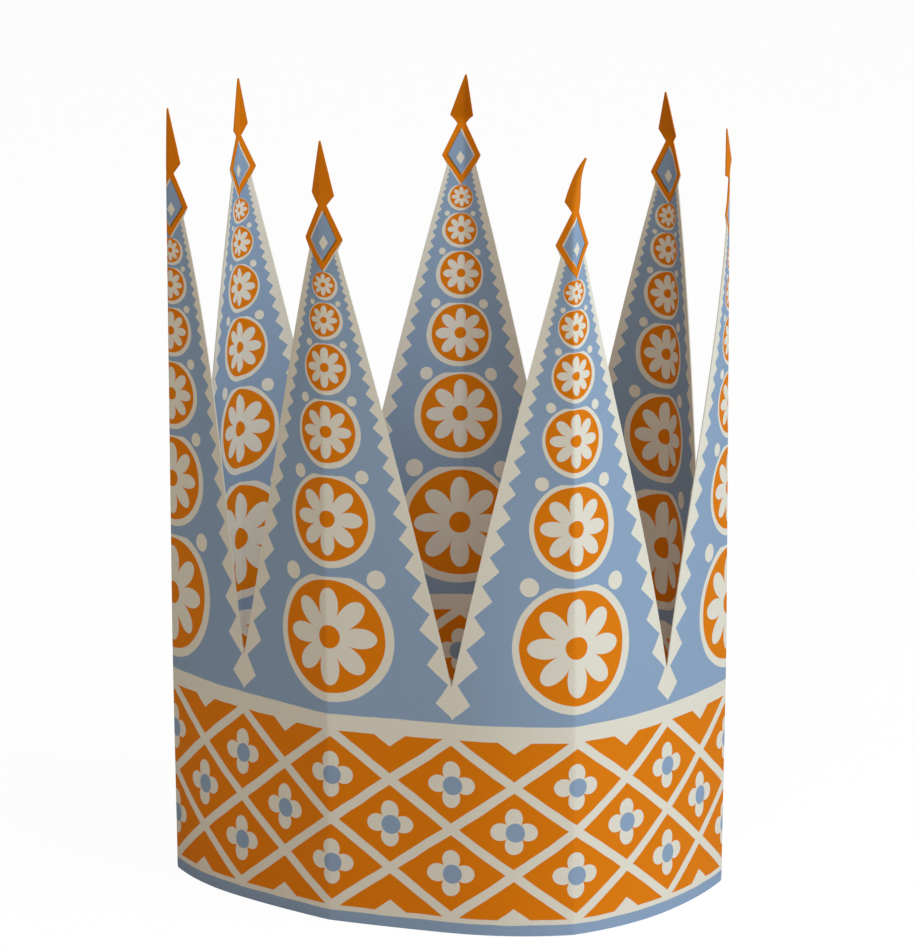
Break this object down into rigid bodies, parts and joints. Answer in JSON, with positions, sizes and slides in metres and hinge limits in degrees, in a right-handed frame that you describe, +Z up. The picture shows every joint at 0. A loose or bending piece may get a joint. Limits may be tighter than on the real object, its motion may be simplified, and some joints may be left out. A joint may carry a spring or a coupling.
{
  "type": "paper crown",
  "caption": "Tall ring-shaped crown of folded card, with pointed spikes ending in lozenge and spear finials, worn on the head as a costume crown.",
  "frame": {"origin": "on the table, under the middle of the crown's box", "axes": "+Z up along the crown's height, -Y towards the front face between two spikes"},
  "size_m": [0.1864, 0.1938, 0.2619],
  "materials": {
    "printed_card": "uncoated card printed on both faces in orange and grey blue, cut edges cream"
  },
  "bodies": {
    "root": {"crown_sheet": "printed_card"}
  },
  "joints": []
}
